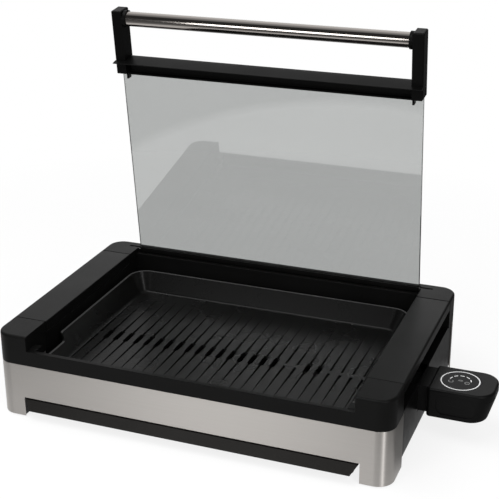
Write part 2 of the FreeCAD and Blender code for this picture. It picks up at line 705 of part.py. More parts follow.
# Heat reflector
def heat_reflector():
    half = BAR_INNER - REFLECTOR_SIDE_GAP
    y0 = RAIL_BACK + REFLECTOR_SIDE_GAP
    y1 = REAR_INNER - REFLECTOR_SIDE_GAP
    t = REFLECTOR_SHEET
    radii = [REFLECTOR_CORNER] * 4
    inner_radii = [REFLECTOR_CORNER - t] * 4
    tub = rounded_block(-half, half, y0, y1, REFLECTOR_BOTTOM, FLANGE_TOP, radii)
    flange_half = HALF - REFLECTOR_FLANGE_INSET
    flange = box(-flange_half, flange_half, FRONT + REFLECTOR_FLANGE_END, REAR - REFLECTOR_FLANGE_END,
                 FLANGE_BOTTOM, FLANGE_TOP)
    above = FLANGE_TOP + OVERCUT
    inside = rounded_block(-half + t, half - t, y0 + t, y1 - t, REFLECTOR_TOP, above, inner_radii)
    drain = drain_box(0, REFLECTOR_BOTTOM - DRAIN_LIP)
    drain_lip = cut(drain_box(t, REFLECTOR_BOTTOM - DRAIN_LIP), drain)
    window = plug_window(half - t - OVERCUT, HALF, GUARD_WIDTH / 2 + NECK_GAP, GUARD_BOTTOM - NECK_GAP, above)
    holes = [rod((x, y, FLANGE_BOTTOM), (0, 0, 1), SCREW_RADIUS + SCREW_GAP, t) for x, y in foot_places()]
    return cut(joined(tub, flange, drain_lip), inside, drain, window, *holes)


def drain_box(outset, z0):
    first = groove_x(min(SLOT_GROOVES)) - DRAIN_MARGIN - outset
    last = groove_x(max(SLOT_GROOVES)) + DRAIN_MARGIN + outset
    reach = SLOT_LENGTH / 2 + DRAIN_MARGIN + outset
    return box(first, last, SLOT_MIDDLE - reach, SLOT_MIDDLE + reach, z0, REFLECTOR_TOP)


# Grill plate
def groove_x(index):
    return -GROOVE_SPAN / 2 + index * GROOVE_PITCH


def pan_wire(z, outset):
    """Outline of the pan's wall at a height, on its inside or offset outwards."""
    rise = z - FLOOR_TOP
    spread = rise * PLATE_SLOPE + outset
    radius = PLATE_CORNER + rise * PLATE_CORNER_SPREAD + outset
    half = FLOOR_HALF + spread
    return rounded_wire(-half, half, FLOOR_FRONT - spread, FLOOR_REAR + spread, z, [radius] * 4)


def pan_cavity():
    cavity = loft(pan_wire(FLOOR_TOP, 0), pan_wire(RIM_TOP + OVERCUT, 0))
    return cavity.makeFillet(PLATE_FILLET, edges_near(cavity, level_at(FLOOR_TOP)))


def rim_step():
    """Takes the side rims down in an S towards the front."""
    r = RIM_STEP_RADIUS
    y = FRONT + RIM_STEP_FROM_FRONT
    low = RIM_TOP - RIM_STEP
    high = RIM_TOP - r
    diagonal = r * math.sqrt(0.5)
    x = -HALF
    start = Vector(x, y, RIM_TOP)
    turn = Vector(x, y - r, high)
    foot_top = Vector(x, y - r, low + r)
    foot = Vector(x, y - 2 * r, low)
    crown_middle = Vector(x, y - diagonal, high + diagonal)
    foot_middle = Vector(x, y - 2 * r + diagonal, low + r - diagonal)
    far = FRONT - LIP_REACH
    edges = [Part.Arc(start, crown_middle, turn).toShape()]
    if RIM_STEP > 2 * r:
        edges.append(Part.LineSegment(turn, foot_top).toShape())
    edges.append(Part.Arc(foot_top, foot_middle, foot).toShape())
    above = RIM_TOP + OVERCUT
    rest = [foot, Vector(x, far, low), Vector(x, far, above), Vector(x, y, above), start]
    edges += [Part.LineSegment(a, b).toShape() for a, b in zip(rest, rest[1:])]
    return Part.Face(Part.Wire(edges)).extrude(Vector(BODY_WIDTH, 0, 0))


def groove_cut(index, deep_y, end_y):
    """Cuts a groove that is deepest by the drain slots and runs out in the floor at its end."""
    x = groove_x(index)
    height = GROOVE_DEPTH + OVERCUT
    flank = (GROOVE_TOP - GROOVE_BOTTOM) / 2 / GROOVE_DEPTH
    half_low = GROOVE_BOTTOM / 2
    half_top = half_low + flank * height
    wires = []
    for y, low in ((deep_y, FLOOR_TOP - GROOVE_DEPTH), (end_y, FLOOR_TOP + GROOVE_RUNOUT)):
        corners = [(x - half_low, low), (x + half_low, low), (x + half_top, low + height),
                   (x - half_top, low + height), (x - half_low, low)]
        wires.append(Part.makePolygon([Vector(corner_x, y, z) for corner_x, z in corners]))
    return loft(*wires)


def plate_cuts():
    tools = []
    y0 = FLOOR_FRONT + GROOVE_END_MARGIN
    y1 = FLOOR_REAR - GROOVE_END_MARGIN
    for index in range(GROOVE_COUNT):
        if index in SLOT_GROOVES:
            x = groove_x(index)
            tools.append(groove_cut(index, SLOT_MIDDLE, y0))
            tools.append(groove_cut(index, SLOT_MIDDLE, y1))
            tools.append(rounded_block(x - SLOT_WIDTH / 2, x + SLOT_WIDTH / 2, SLOT_MIDDLE - SLOT_LENGTH / 2,
                                       SLOT_MIDDLE + SLOT_LENGTH / 2, PLATE_BOTTOM - OVERCUT,
                                       FLOOR_TOP + OVERCUT, [SLOT_CORNER] * 4))
        else:
            tools.append(groove_cut(index, SLOT_MIDDLE - BUMP_LENGTH / 2, y0))
            tools.append(groove_cut(index, SLOT_MIDDLE + BUMP_LENGTH / 2, y1))
    return tools


def plate_feet():
    x = FLOOR_HALF - PLATE_FOOT_INSET
    feet = []
    for y in (FLOOR_FRONT + PLATE_FOOT_INSET, FLOOR_REAR - PLATE_FOOT_INSET):
        feet += both(rod((x, y, REFLECTOR_TOP), (0, 0, 1), PLATE_FOOT_RADIUS, PLATE_FOOT))
    return feet


def grill_plate():
    blank = loft(pan_wire(PLATE_BOTTOM, PLATE_WALL), pan_wire(RIM_TOP, PLATE_WALL))
    plate = cut(blank, pan_cavity(), rim_step(), *plate_cuts())
    return joined(plate, *plate_feet())


# Heating element under the plate, and its terminals
def element_route():
    """Corners of the element's centre line, from one terminal round the drain slots to the other."""
    front_y = FLOOR_FRONT + ELEMENT_END_INSET + ELEMENT_BEND
    rear_y = FLOOR_REAR - ELEMENT_END_INSET - ELEMENT_BEND
    left_x = -FLOOR_HALF + ELEMENT_SIDE_INSET
    right_x = FLOOR_HALF - ELEMENT_SIDE_INSET - ELEMENT_BEND
    return [(ELEMENT_END, PIN_YS[0]), (right_x, PIN_YS[0]), (right_x, front_y), (left_x, front_y),
            (left_x, rear_y), (right_x, rear_y), (right_x, PIN_YS[1]), (ELEMENT_END, PIN_YS[1])]


def heating_element():
    points = [Vector(x, y, PIN_Z) for x, y in element_route()]
    edges = []
    last = points[0]
    for before, corner, after in zip(points, points[1:], points[2:]):
        back = (before - corner).normalize()
        ahead = (after - corner).normalize()
        enter = corner + back * ELEMENT_BEND
        leave = corner + ahead * ELEMENT_BEND
        centre = corner + (back + ahead) * ELEMENT_BEND
        middle = centre - (back + ahead).normalize() * ELEMENT_BEND
        edges.append(Part.LineSegment(last, enter).toShape())
        edges.append(Part.Arc(enter, middle, leave).toShape())
        last = leave
    edges.append(Part.LineSegment(last, points[-1]).toShape())
    section = Part.Wire(Part.Circle(points[0], Vector(-1, 0, 0), ELEMENT_RADIUS).toShape())
    return Part.Wire(edges).makePipeShell([section], True, False)


def element_clamps():
    route = element_route()
    clamps = []
    half = CLAMP_LENGTH / 2
    for y in (route[2][1], route[4][1]):
        for x in (-FLOOR_HALF + CLAMP_INSET, 0, FLOOR_HALF - CLAMP_INSET):
            block = box(x - half, x + half, y - CLAMP_WIDTH / 2, y + CLAMP_WIDTH / 2,
                        PIN_Z - ELEMENT_RADIUS - CLAMP_BELOW, PLATE_BOTTOM)
            hole = rod((x - half, y, PIN_Z), (1, 0, 0), ELEMENT_RADIUS + ELEMENT_GAP / 2, CLAMP_LENGTH)
            clamps.append(cut(block, hole))
    return clamps


def terminal_guard():
    half = GUARD_WIDTH / 2
    shroud = plug_window(GUARD_X, GUARD_END, half, GUARD_BOTTOM, GUARD_TOP)
    inside = plug_window(GUARD_INSIDE, GUARD_END + OVERCUT, half - GUARD_WALL, GUARD_BOTTOM + GUARD_WALL,
                         GUARD_TOP - GUARD_WALL)
    ears = []
    for y0 in (PLUG_Y - half, PLUG_Y + half - GUARD_EAR):
        ears.append(box(GUARD_X - GUARD_EAR_LENGTH, GUARD_X, y0, y0 + GUARD_EAR,
                        PLATE_BOTTOM - GUARD_WALL, PLATE_BOTTOM))
    holes = [rod((GUARD_X, y, PIN_Z), (1, 0, 0), ELEMENT_RADIUS + ELEMENT_GAP, GUARD_WALL) for y in PIN_YS]
    holes.append(rod((GUARD_X, PLUG_Y, PROBE_Z), (1, 0, 0), PROBE_RADIUS + PROBE_GAP, GUARD_WALL))
    return cut(joined(shroud, *ears), inside, *holes)


def terminal_pins():
    return [rod((ELEMENT_END, y, PIN_Z), (1, 0, 0), PIN_RADIUS, PIN_LENGTH) for y in PIN_YS]


# Controller
def controller_form(inset, back):
    """Outer form of the controller, or its hollow when set in by the wall, with its inner corner radius."""
    y0 = PLUG_Y - CONTROLLER_WIDTH / 2 + inset
    y1 = PLUG_Y + CONTROLLER_WIDTH / 2 - inset
    x0 = CONTROLLER_START + inset
    nose = CONTROLLER_NOSE_RADIUS - inset
    radii = [back, nose, nose, back]
    low = CONTROLLER_BOTTOM + inset
    band = CONTROLLER_TOP - CONTROLLER_BAND
    high = CONTROLLER_TOP - inset
    end = CONTROLLER_END - inset
    taper = loft(rounded_wire(x0, end - CONTROLLER_OVERHANG, y0, y1, low, radii),
                 rounded_wire(x0, end, y0, y1, band, radii))
    top = rounded_block(x0, end, y0, y1, band, high, radii)
    return joined(taper, top)


def controller_outside():
    form = controller_form(0, CONTROLLER_BACK_RADIUS)
    form = form.makeFillet(CONTROLLER_EDGE, edges_near(form, level_at(CONTROLLER_TOP)))
    return form.makeFillet(CONTROLLER_EDGE, edges_near(form, level_at(CONTROLLER_BOTTOM)))


def grip_recesses():
    x = CONTROLLER_START + (CONTROLLER_LENGTH - CONTROLLER_OVERHANG) / 2
    z = CONTROLLER_BOTTOM + CONTROLLER_HEIGHT / 2
    tools = []
    for y in (PLUG_Y - CONTROLLER_WIDTH / 2 - OVERCUT, PLUG_Y + CONTROLLER_WIDTH / 2 - GRIP_RECESS):
        pad = rounded_block(-GRIP_LENGTH / 2, GRIP_LENGTH / 2, -GRIP_HEIGHT / 2, GRIP_HEIGHT / 2, 0,
                            GRIP_RECESS + OVERCUT, [GRIP_RADIUS] * 4)
        pad.rotate(Vector(0, 0, 0), Vector(1, 0, 0), -90)
        pad.translate(Vector(x, y, z))
        tools.append(pad)
    return tools


def controller_neck():
    half = NECK_WIDTH / 2
    return plug_window(NECK_START, CONTROLLER_START + CONTROLLER_WALL, half, NECK_BOTTOM, NECK_TOP)


def connector_form(gap):
    return plug_window(CONNECTOR_X - gap, CONNECTOR_END + gap, CONNECTOR_HALF + gap,
                       CONNECTOR_BOTTOM - gap, CONNECTOR_TOP + gap)


def case_post_places():
    x0 = CONTROLLER_START + CONTROLLER_WALL + CASE_POST_INSET
    x1 = CONTROLLER_END - CONTROLLER_OVERHANG - CONTROLLER_NOSE_RADIUS + CASE_POST_INSET
    reach = CONTROLLER_WIDTH / 2 - CONTROLLER_WALL - CASE_POST_INSET
    return [(x, PLUG_Y + side * reach) for x in (x0, x1) for side in (-1, 1)]


def case_posts(z0, z1):
    return [rod((x, y, z0), (0, 0, 1), CASE_POST_RADIUS, z1 - z0) for x, y in case_post_places()]


def gland_place():
    x = CONTROLLER_END - GLAND_FROM_END
    return x, PLUG_Y + CONTROLLER_WIDTH / 2, CONTROLLER_BOTTOM + GLAND_HEIGHT


def controller_case():
    """Both shells in one, with the hollow, the recesses and the seats cut in."""
    case = joined(controller_outside(), controller_neck())
    posts = case_posts(CONTROLLER_BOTTOM + CONTROLLER_WALL, CONTROLLER_TOP - CONTROLLER_WALL)
    hollow = controller_form(CONTROLLER_WALL, HOLLOW_BACK_RADIUS)
    case = joined(cut(case, hollow), *posts, *board_standoffs())
    touch_seat = (TOUCH_X, PLUG_Y, CONTROLLER_TOP - TOUCH_THICKNESS)
    touch = rod(touch_seat, (0, 0, 1), TOUCH_RADIUS + FIT_GAP, TOUCH_THICKNESS)
    x, y, z = gland_place()
    gland = rod((x, y - CONTROLLER_WALL - OVERCUT, z), (0, 1, 0), GLAND_RADIUS + FIT_GAP,
                CONTROLLER_WALL + 2 * OVERCUT)
    head_depth = CASE_SCREW_HEAD + FIT_GAP
    holes = []
    for px, py in case_post_places():
        start = (px, py, CONTROLLER_BOTTOM)
        holes.append(rod(start, (0, 0, 1), CASE_SCREW_HEAD_RADIUS + FIT_GAP, head_depth))
        holes.append(rod(start, (0, 0, 1), CASE_SCREW_RADIUS + PRESS_GAP, head_depth + CASE_SCREW_LENGTH))
    return cut(case, connector_form(FIT_GAP), touch, gland, *grip_recesses(), *holes)


def controller_shell(upper):
    z0, z1 = (SPLIT_Z, CONTROLLER_TOP) if upper else (CONTROLLER_BOTTOM, SPLIT_Z)
    y0 = PLUG_Y - CONTROLLER_WIDTH
    return controller_case().common(box(NECK_START, CONTROLLER_END, y0, PLUG_Y + CONTROLLER_WIDTH, z0, z1))


def board_places():
    dx = BOARD_LENGTH / 2 - STANDOFF_INSET
    dy = BOARD_WIDTH / 2 - STANDOFF_INSET
    return [(TOUCH_X + sx * dx, PLUG_Y + sy * dy) for sx in (-1, 1) for sy in (-1, 1)]


def board_standoffs():
    length = BOARD_STANDOFF + FIT_GAP
    return [rod((x, y, BOARD_TOP), (0, 0, 1), STANDOFF_RADIUS, length) for x, y in board_places()]


def control_board():
    return box(TOUCH_X - BOARD_LENGTH / 2, TOUCH_X + BOARD_LENGTH / 2, PLUG_Y - BOARD_WIDTH / 2,
               PLUG_Y + BOARD_WIDTH / 2, BOARD_BOTTOM, BOARD_TOP)


def touch_ring(gap):
    z = CONTROLLER_TOP - RING_THICKNESS
    outer = rod((TOUCH_X, PLUG_Y, z), (0, 0, 1), RING_RADIUS + gap, RING_THICKNESS)
    inner = rod((TOUCH_X, PLUG_Y, z), (0, 0, 1), RING_RADIUS - RING_WIDTH - gap, RING_THICKNESS)
    return cut(outer, inner)


def touch_panel():
    disc = rod((TOUCH_X, PLUG_Y, CONTROLLER_TOP - TOUCH_THICKNESS), (0, 0, 1), TOUCH_RADIUS, TOUCH_THICKNESS)
    return cut(disc, touch_ring(PRESS_GAP))


def connector_block():
    bores = []
    for y in PIN_YS:
        bores.append(rod((CONNECTOR_X, y, PIN_Z), (1, 0, 0), SOCKET_OUTER + PRESS_GAP,
                         SOCKET_END - CONNECTOR_X))
    bores.append(rod((CONNECTOR_X, PLUG_Y, PROBE_Z), (1, 0, 0), PROBE_RADIUS + PRESS_GAP,
                     CONNECTOR_END - CONNECTOR_X))
    return cut(connector_form(0), *bores)


def contact_sockets():
    sockets = []
    length = SOCKET_END - CONNECTOR_X
    for y in PIN_YS:
        tube = rod((CONNECTOR_X, y, PIN_Z), (1, 0, 0), SOCKET_OUTER, length)
        bore = rod((CONNECTOR_X, y, PIN_Z), (1, 0, 0), SOCKET_BORE, length - SOCKET_WALL / 2)
        sockets.append(cut(tube, bore))
    return sockets


def temperature_probe():
    start = CONNECTOR_X - PROBE_REACH
    return rod((start, PLUG_Y, PROBE_Z), (1, 0, 0), PROBE_RADIUS, CONNECTOR_END - start)


def cord_gland():
    x, y, z = gland_place()
    start = y - CONTROLLER_WALL - GLAND_FLANGE
    barrel = rod((x, start, z), (0, 1, 0), GLAND_RADIUS, GLAND_LENGTH)
    flange = rod((x, start, z), (0, 1, 0), GLAND_RADIUS + GLAND_FLANGE_WIDTH, GLAND_FLANGE - FIT_GAP)
    return cut(joined(barrel, flange), rod((x, start, z), (0, 1, 0), GLAND_BORE, GLAND_LENGTH))


def controller_screws():
    screws = []
    for x, y in case_post_places():
        head = rod((x, y, CONTROLLER_BOTTOM + FIT_GAP), (0, 0, 1), CASE_SCREW_HEAD_RADIUS, CASE_SCREW_HEAD)
        shank = rod((x, y, CONTROLLER_BOTTOM + FIT_GAP + CASE_SCREW_HEAD), (0, 0, 1), CASE_SCREW_RADIUS,
                    CASE_SCREW_LENGTH)
        screws.append(joined(head, shank))
    return screws


# Lid, built upright with its hinge line on the X axis and its front towards -Y
def on_hinge(shape):
    shape = shape.copy()
    shape.rotate(Vector(0, 0, 0), Vector(1, 0, 0), LID_LEAN)
    shape.translate(Vector(0, AXIS_Y, AXIS_Z))
    return shape


def glass_blank():
    half = GLASS_THICKNESS / 2
    pane = box(-GLASS_HALF, GLASS_HALF, -half, half, GLASS_START, GLASS_END)
    return pane.makeChamfer(GLASS_CHAMFER, pane.Edges)


def post_screw_places():
    return [(POST_SCREW_X, POST_BOTTOM + rise) for rise in POST_SCREW_RISES]


def lid_glass():
    holes = []
    for x, z in post_screw_places():
        holes += both(rod((x, -GLASS_THICKNESS, z), (0, 1, 0), GLASS_HOLE_RADIUS, 2 * GLASS_THICKNESS))
    return cut(glass_blank(), *holes)


def hinge_rail():
    rail = box(-GLASS_HALF, GLASS_HALF, -HINGE_RAIL_HALF, HINGE_RAIL_HALF,
               -HINGE_RAIL_BELOW, HINGE_RAIL_ABOVE)
    bottom = [e for e in edges_near(rail, level_at(-HINGE_RAIL_BELOW)) if e.BoundBox.XLength > GLASS_HALF]
    rail = rail.makeFillet(HINGE_RAIL_ROUND, bottom)
    slot = box(-GLASS_HALF, GLASS_HALF, -GLASS_SLOT, GLASS_SLOT, GLASS_START, HINGE_RAIL_ABOVE)
    bore_start = PIN_END - HINGE_PIN_LENGTH
    bore = rod((bore_start, 0, 0), (1, 0, 0), HINGE_PIN_RADIUS + PRESS_GAP, GLASS_HALF - bore_start)
    return cut(rail, slot, *both(bore))


def hinge_pins():
    return both(rod((PIN_END - HINGE_PIN_LENGTH, 0, 0), (1, 0, 0), HINGE_PIN_RADIUS, HINGE_PIN_LENGTH))


def strip_outline():
    """Section of the strip that grips the glass, with its rib below and its blade above."""
    d = STRIP_HALF_DEPTH
    tip_top = STRIP_END - BLADE_DROP
    return [(d, STRIP_START), (d, STRIP_END), (-d, STRIP_END), (-BLADE_REACH, tip_top),
            (-BLADE_REACH, tip_top - BLADE_TIP), (-d, STRIP_END - BLADE_ROOT),
            (-d, STRIP_START + RIB_THICKNESS), (-RIB_REACH, STRIP_START + RIB_THICKNESS),
            (-RIB_REACH, STRIP_START)]


def lid_strip():
    inner = POST_INNER - FIT_GAP
    bar = prism_x(strip_outline(), -inner, inner)
    ahead = box(-POST_OUTER, POST_OUTER, -BLADE_REACH, -POST_FRONT - FIT_GAP, STRIP_START, STRIP_END)
    blade = prism_x(strip_outline(), -POST_OUTER, POST_OUTER).common(ahead)
    slot = box(-inner, inner, -GLASS_SLOT, GLASS_SLOT, STRIP_START, GLASS_END + GLASS_GAP)
    return cut(joined(bar, blade), slot)


def post_blank():
    post = box(POST_INNER, POST_OUTER, -POST_FRONT, POST_BACK, POST_BOTTOM, POST_TOP)
    outer = edges_near(post, lambda edge: edge.BoundBox.XMin > POST_INNER + POST_EDGE)
    crown = edges_near(post, level_at(POST_TOP))
    rest = [edge for edge in crown if not any(edge.isSame(other) for other in outer)]
    return post.makeFillet(POST_EDGE, outer + rest)


def lid_post():
    collar_start = POST_INNER - COLLAR_LENGTH
    start = (collar_start, -TUBE_FORWARD, TUBE_Z)
    fin_bottom = POST_BOTTOM - FIN_LENGTH
    collar = rod(start, (1, 0, 0), TUBE_RADIUS + COLLAR_WALL, COLLAR_LENGTH)
    fin = box(POST_INNER, POST_INNER + FIN_WIDTH, -RIB_REACH, -GLASS_SLOT, fin_bottom, POST_BOTTOM)
    post = joined(post_blank(), collar, fin)
    socket = rod(start, (1, 0, 0), TUBE_RADIUS + GLASS_GAP, TUBE_HALF + FIT_GAP - collar_start)
    slot = box(POST_INNER, POST_OUTER, -GLASS_SLOT, GLASS_SLOT, fin_bottom, GLASS_END + GLASS_GAP)
    holes = []
    for x, z in post_screw_places():
        holes.append(rod((x, POST_BACK, z), (0, -1, 0), POST_SCREW_HEAD_RADIUS + FIT_GAP, POST_SCREW_HEAD))
        holes.append(rod((x, POST_BACK, z), (0, -1, 0), POST_SCREW_RADIUS + PRESS_GAP, POST_SCREW_LENGTH))
    return cut(post, socket, slot, *holes)


def handle_tube():
    start = (-TUBE_HALF, -TUBE_FORWARD, TUBE_Z)
    outer = rod(start, (1, 0, 0), TUBE_RADIUS, 2 * TUBE_HALF)
    return cut(outer, rod(start, (1, 0, 0), TUBE_RADIUS - TUBE_WALL, 2 * TUBE_HALF))


def post_screws():
    screws = []
    for x, z in post_screw_places():
        head = rod((x, POST_BACK, z), (0, -1, 0), POST_SCREW_HEAD_RADIUS, POST_SCREW_HEAD)
        shank = rod((x, POST_BACK, z), (0, -1, 0), POST_SCREW_RADIUS, POST_SCREW_LENGTH)
        screws += both(joined(head, shank))
    return screws


def save_lid(name, *shapes):
    save(name, *[on_hinge(shape) for shape in shapes])


def main():
    os.makedirs("parts", exist_ok=True)
    save("front_panel", front_panel())
    save("rear_panel", rear_panel())
    save("left_side_panel", mirrored(side_panel()))
    save("right_side_panel", right_side_panel())
    for front in (True, False):
        for right in (False, True):
            name = ("front" if front else "rear") + ("_right" if right else "_left") + "_corner_block"
            save(name, corner_block(front, right))
    save("rubber_feet", *rubber_feet())
    save("frame_screws", *frame_screws())
    save("top_frame", top_frame())
    save("right_handle_bar", handle_bar())
    save("left_handle_bar", mirrored(handle_bar()))
    save("heat_reflector", heat_reflector())
    save("right_tray_runner", tray_runner())
    save("left_tray_runner", mirrored(tray_runner()))
    save("runner_screws", *runner_screws())
    save("drip_tray", drip_tray())
    save("grill_plate", grill_plate())
    save("heating_element", heating_element())
    save("element_clamps", *element_clamps())
    save("terminal_guard", terminal_guard())
    save("terminal_pins", *terminal_pins())
    save("controller_upper_shell", controller_shell(True))
    save("controller_lower_shell", controller_shell(False))
    save("connector_block", connector_block())
    save("contact_sockets", *contact_sockets())
    save("temperature_probe", temperature_probe())
    save("control_board", control_board())
    save("touch_panel", touch_panel())
    save("touch_ring", touch_ring(0))
    save("cord_gland", cord_gland())
    save("controller_screws", *controller_screws())
    save_lid("lid_glass", lid_glass())
    save_lid("hinge_rail", hinge_rail())
    save_lid("hinge_pins", *hinge_pins())
    save_lid("lid_strip", lid_strip())
    save_lid("right_lid_post", lid_post())
    save_lid("left_lid_post", mirrored(lid_post()))
    save_lid("handle_tube", handle_tube())
    save_lid("post_screws", *post_screws())


main()
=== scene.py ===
import json
import math

import bmesh
import bpy
from mathutils import Matrix, Vector


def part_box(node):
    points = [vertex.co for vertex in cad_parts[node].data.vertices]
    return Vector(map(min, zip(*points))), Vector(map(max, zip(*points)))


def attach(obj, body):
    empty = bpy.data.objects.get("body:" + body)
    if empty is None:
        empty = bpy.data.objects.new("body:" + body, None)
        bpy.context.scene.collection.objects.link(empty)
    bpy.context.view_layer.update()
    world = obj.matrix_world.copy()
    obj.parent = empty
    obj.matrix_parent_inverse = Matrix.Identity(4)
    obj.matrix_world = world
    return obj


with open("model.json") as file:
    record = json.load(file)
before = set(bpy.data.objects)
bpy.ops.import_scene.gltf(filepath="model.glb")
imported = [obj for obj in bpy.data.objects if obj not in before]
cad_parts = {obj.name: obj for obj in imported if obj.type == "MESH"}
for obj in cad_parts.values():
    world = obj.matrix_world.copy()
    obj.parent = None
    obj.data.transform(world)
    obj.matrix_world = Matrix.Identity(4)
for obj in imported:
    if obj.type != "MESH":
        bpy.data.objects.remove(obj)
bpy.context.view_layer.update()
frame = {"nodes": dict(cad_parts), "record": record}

# Camera
CAMERA_AZIMUTH = 21.214
CAMERA_ELEVATION = 22.114
CAMERA_ROLL = -0.292
CAMERA_DISTANCE = 1.50893
CAMERA_TARGET = Vector((-0.03915, 0.04584, 0.17658))
CAMERA_LENS = 86.66
CAMERA_SHIFT_X = 0.0004
CAMERA_SHIFT_Y = -0.0038

# Studio: brightness of what each kind of ray meets beyond the object
WHITE = 1.0
FILL = 0.45

# What reflections meet beyond the floor, from the front to the back: share of the way, brightness
REFLECTED = ((0.30, 0.05), (0.38, 0.35), (0.55, 0.60), (0.72, 1.10), (0.91, 1.05), (0.96, 1.30))
# and from the left to the right, which a dark card shades: part across, share of that brightness
SHADED = ((0.0, 1.0), (0.22, 0.12))

# Floor: its shadow is kept near the object and fades outwards. Reflections show it as a white disc, painted
# dark beyond its edge and in a patch to the right of the body, past these spans of X and Y: a painted
# reflection of dark surroundings and of a dark card, where no card stands
FLOOR_SIZE = 12.0
FLOOR_COLOUR = (0.90, 0.90, 0.90)
FLOOR_ROUGHNESS = 0.9
FLOOR_SPECULAR = 0.1
FLOOR_GRAIN = 0.35
FLOOR_SHADOW = 0.18
SHADOW_NEAR = 0.45
SHADOW_FAR = 1.1
DISC_MIDDLE = (-0.10, -0.12, 0.0)
DISC_RADIUS = 0.41
DISC_EDGE = 0.02
REFLECTED_DARK_GREY = 0.15
PAINTED_CARD_SPAN_X = (0.196, 0.226)
PAINTED_CARD_SPAN_Y = (-0.12, -0.08)

# Lamps: place, what they point at, width, height, power in watts
LAMPS = {
    "overhead": ((-0.45, -0.45, 1.75), (-0.04, 0.05, 0.1), 2.0, 0.7, 22.0),
    "front_left": ((-0.66, -1.85, 0.75), (-0.04, -0.1, 0.1), 0.62, 0.70, 8.5),
    "strip_right": ((1.30, -1.20, 0.95), (0.1, -0.05, 0.05), 0.2, 1.7, 16.0),
}
# Lamps that a piece is kept out of: lamp, node
SPARED = {"overhead": "handle_tube"}

# Marks on the touch panel: a part ring of dashes, and three small signs in faint grey
MARK_HEIGHT = 0.00004
MARK_LIFT = 0.00002
MARK_STEP = 6.0
DASH_RADIUS = 0.0124
DASH_WIDTH = 0.0011
DASH_SPAN = 23.0
DASH_ANGLES = (162.0, 126.0, 90.0, 54.0, 18.0)
SIGN_WIDTH = 0.0009
SIGN_RADIUS = 0.0027
LEFT_SIGN = (-0.0105, -0.0042)
MIDDLE_SIGN = (0.0, 0.0005)
RIGHT_SIGN = (0.0085, -0.0034)
OPEN_RING = (120.0, 420.0)
RING_HALVES = ((60.0, 240.0), (240.0, 420.0))

# Edges that moulds, presses and grinding leave rounded: node, width
SOFT_EDGES = {
    "top_frame": 0.0012,
    "left_handle_bar": 0.0011,
    "right_handle_bar": 0.0011,
    "front_panel": 0.0003,
    "rear_panel": 0.0003,
    "left_side_panel": 0.0003,
    "right_side_panel": 0.0003,
    "heat_reflector": 0.0002,
    "lid_strip": 0.0004,
    "drip_tray": 0.0003,
}
EDGE_ANGLE = 30.0
FLAT_ANGLE = 0.3
WELD_REACH = 2e-6
EDGE_SEGMENTS = 2

# Rim of the grill plate, painted pale as a highlight: faces above this height, at least this level, and their
# grey
RIM_HIGHLIGHT_HEIGHT = 0.070
LEVEL = 0.85
RIM_HIGHLIGHT_GREY = 0.05

# The part of a noise's range that most of its values lie in
NOISE_SPAN = (0.3, 0.7)

# Lengths of the grains in each finish's patterns
MOULD_CLOUDS = 0.06
BRUSH_CLOUDS = (0.10, 0.10, 0.05)
BRUSH_LINES = (0.12, 0.12, 0.00016)
METAL_CLOUDS = 0.004
METAL_FINER = 6
COAT_SPECKS = 0.0011
COAT_CLOUDS = 0.05
COAT_SKIN = 0.004
GLASS_WIPES = (0.20, 0.20, 0.05)
POLISH_HAZE = 0.03
GLOSS_HAZE = 0.012

# Darkest and palest tone in each finish, as shares of its colour
MOULD_TONES = (0.88, 1.12)
BRUSH_TONES = (0.96, 1.04)
METAL_TONES = (0.82, 1.10)
COAT_TONES = (0.80, 1.25)
GLASS_TONES = (0.985, 1.015)
POLISH_TONES = (0.98, 1.02)
GLOSS_TONES = (0.92, 1.08)
FLOOR_TONES = (0.99, 1.01)

# How far each finish's roughness strays down and up
MOULD_STRAY = (0.04, 0.04)
BRUSH_STRAY = (0.02, 0.02)
METAL_STRAY = (0.07, 0.07)
COAT_STRAY = (0.015, 0.015)
GLASS_STRAY = (0.0, 0.012)
POLISH_STRAY = (0.01, 0.01)
GLOSS_STRAY = (0.0, 0.05)

# Depth of each finish's relief, and the radius that its sharp edges seem to have
MOULD_DEPTH_SHARE = 12
MOULD_EDGE = 0.0003
BRUSH_DEPTH = 0.0000012
METAL_DEPTH = 0.00001
METAL_EDGE = 0.0002
COAT_DEPTH = 0.000006
TRAY_EDGE = 0.0005
PLATE_EDGE = 0.0002
EDGE_SAMPLES = 4

# Shine
PLASTIC_SPECULAR = 0.08
BRUSH_ANISOTROPY = 0.92
BRUSH_TURN = 0.25
GLASS_IOR = 1.85

# Colours
BLACK = (0.0034, 0.0034, 0.0033)
LID_SHADE = 0.8


